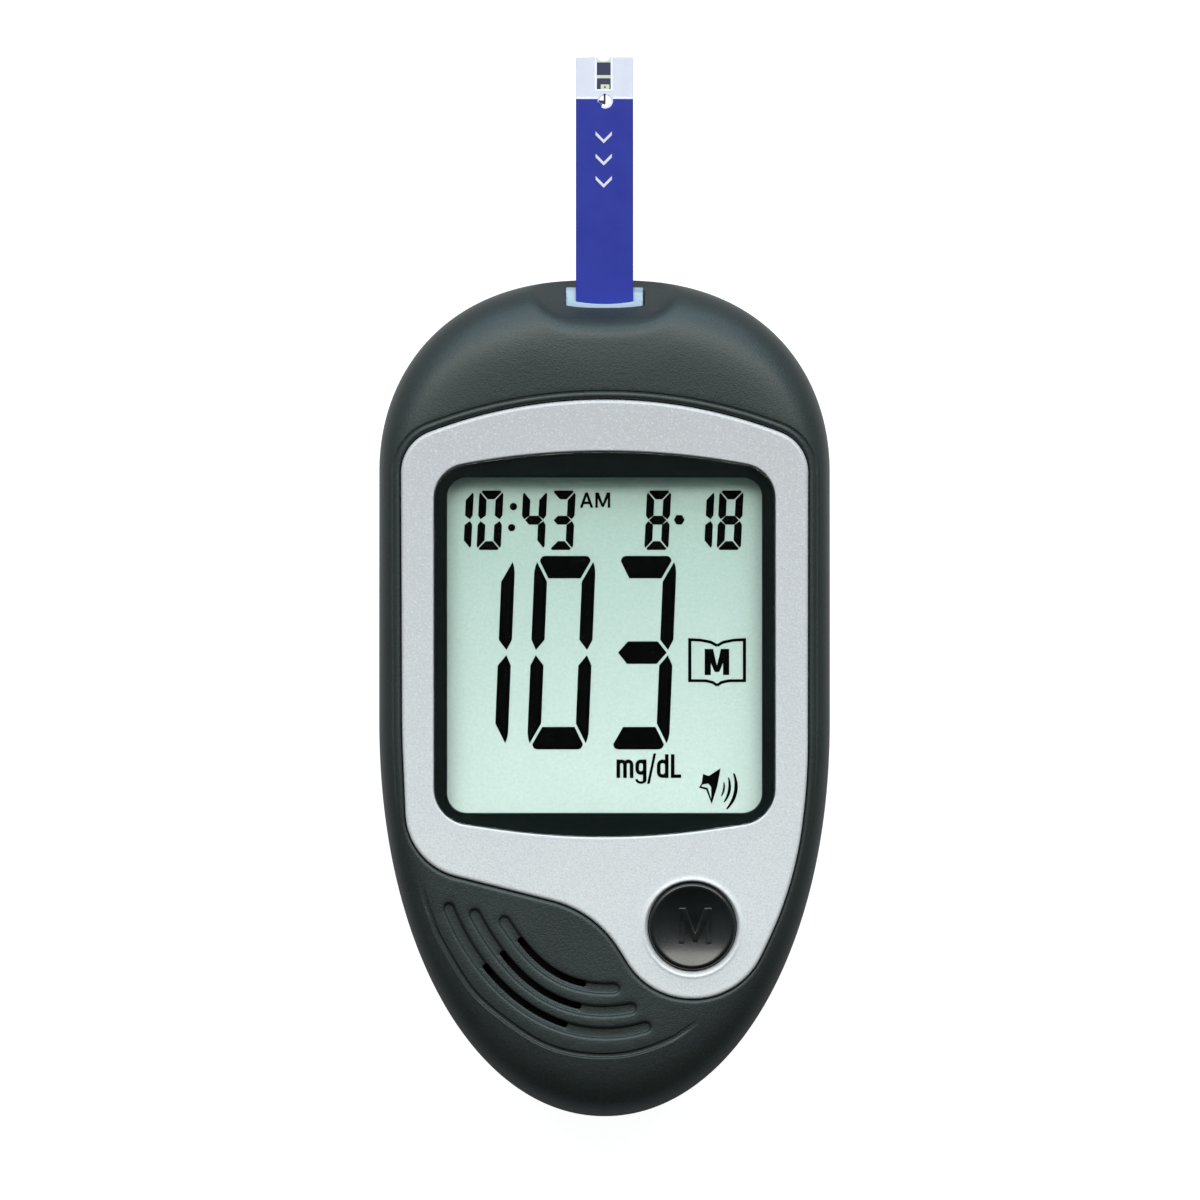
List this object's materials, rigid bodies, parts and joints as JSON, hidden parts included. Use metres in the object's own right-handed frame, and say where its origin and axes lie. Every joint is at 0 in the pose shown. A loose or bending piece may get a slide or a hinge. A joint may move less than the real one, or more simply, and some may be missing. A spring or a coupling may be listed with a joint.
{
  "type": "blood glucose meter",
  "caption": "Hand-held blood glucose meter with display, memory button, speaker slots, battery door and an inserted test strip.",
  "frame": {"origin": "on the surface the meter rests on, under the middle of its body", "axes": "+Z out of the display, +Y towards the test strip, +X to the right as the display is read"},
  "size_m": [0.0528, 0.1239, 0.0224],
  "materials": {
    "charcoal_case": "fine matt texture",
    "silver_plate": "satin silver paint",
    "window_glass": "clear, glossy",
    "button_black": "polished",
    "port_blue": "satin",
    "strip_blue": "printed film",
    "cell_jacket": "plain printed jacket",
    "contact_metal": "nickel plated",
    "board_green": "solder mask",
    "lcd_glass": "glossy",
    "holder_white": "moulded",
    "zebra_rubber": "rubber",
    "connector_ivory": "moulded",
    "gold_contact": "gold plated",
    "switch_dark": "moulded",
    "plunger_ivory": "moulded",
    "set_grey": "moulded",
    "speaker_steel": "stamped",
    "speaker_film": "film",
    "magnet_grey": "sintered",
    "foam_black": "foam",
    "mesh_black": "fine cloth",
    "chip_black": "moulded",
    "component_tan": "ceramic",
    "can_metal": "stamped",
    "screw_steel": "zinc plated"
  },
  "bodies": {
    "case": {"front_case": "charcoal_case", "rear_case": "charcoal_case", "faceplate": "silver_plate", "display_window": "window_glass", "strip_port": "port_blue", "battery_1": "cell_jacket", "battery_2": "cell_jacket", "bridge_contact": "contact_metal", "end_contacts": "contact_metal", "battery_springs": "contact_metal", "circuit_board": "board_green", "lcd_panel": "lcd_glass", "lcd_holder": "holder_white", "zebra_strips": "zebra_rubber", "strip_connector": "connector_ivory", "strip_contacts": "gold_contact", "memory_switch": "switch_dark", "set_switch": "switch_dark", "speaker_frame": "speaker_steel", "speaker_cone": "speaker_film", "speaker_magnet": "magnet_grey", "speaker_gasket": "foam_black", "speaker_mesh": "mesh_black", "processor_chip": "chip_black", "voice_chip": "chip_black", "crystal": "can_metal", "small_components": "component_tan", "data_port": "can_metal", "case_screws": "screw_steel", "board_screws": "screw_steel"},
    "button": {"memory_button": "button_black", "memory_plunger": "plunger_ivory"},
    "strip": {"test_strip": "strip_blue"},
    "set_key": {"set_button": "set_grey", "set_plunger": "plunger_ivory"},
    "cover": {"battery_cover": "charcoal_case"}
  },
  "joints": [
    {"name": "memory_press", "type": "slide", "parent": "case", "child": "button", "axis": [0, 0, -1], "range_m": [0, 0.0007], "stiffness_N_per_m": 900, "springref_m": -0.0007},
    {"name": "strip_pull", "type": "slide", "parent": "case", "child": "strip", "axis": [0, 1, 0], "range_m": [0, 0.012]},
    {"name": "set_press", "type": "slide", "parent": "case", "child": "set_key", "axis": [0, 0, 1], "range_m": [0, 0.0005], "stiffness_N_per_m": 700, "springref_m": -0.0005},
    {"name": "cover_swing", "type": "hinge", "parent": "case", "child": "cover", "pos_m": [0, -0.0254, 0.0026], "axis": [-1, 0, 0], "range_deg": [0, 60]}
  ]
}
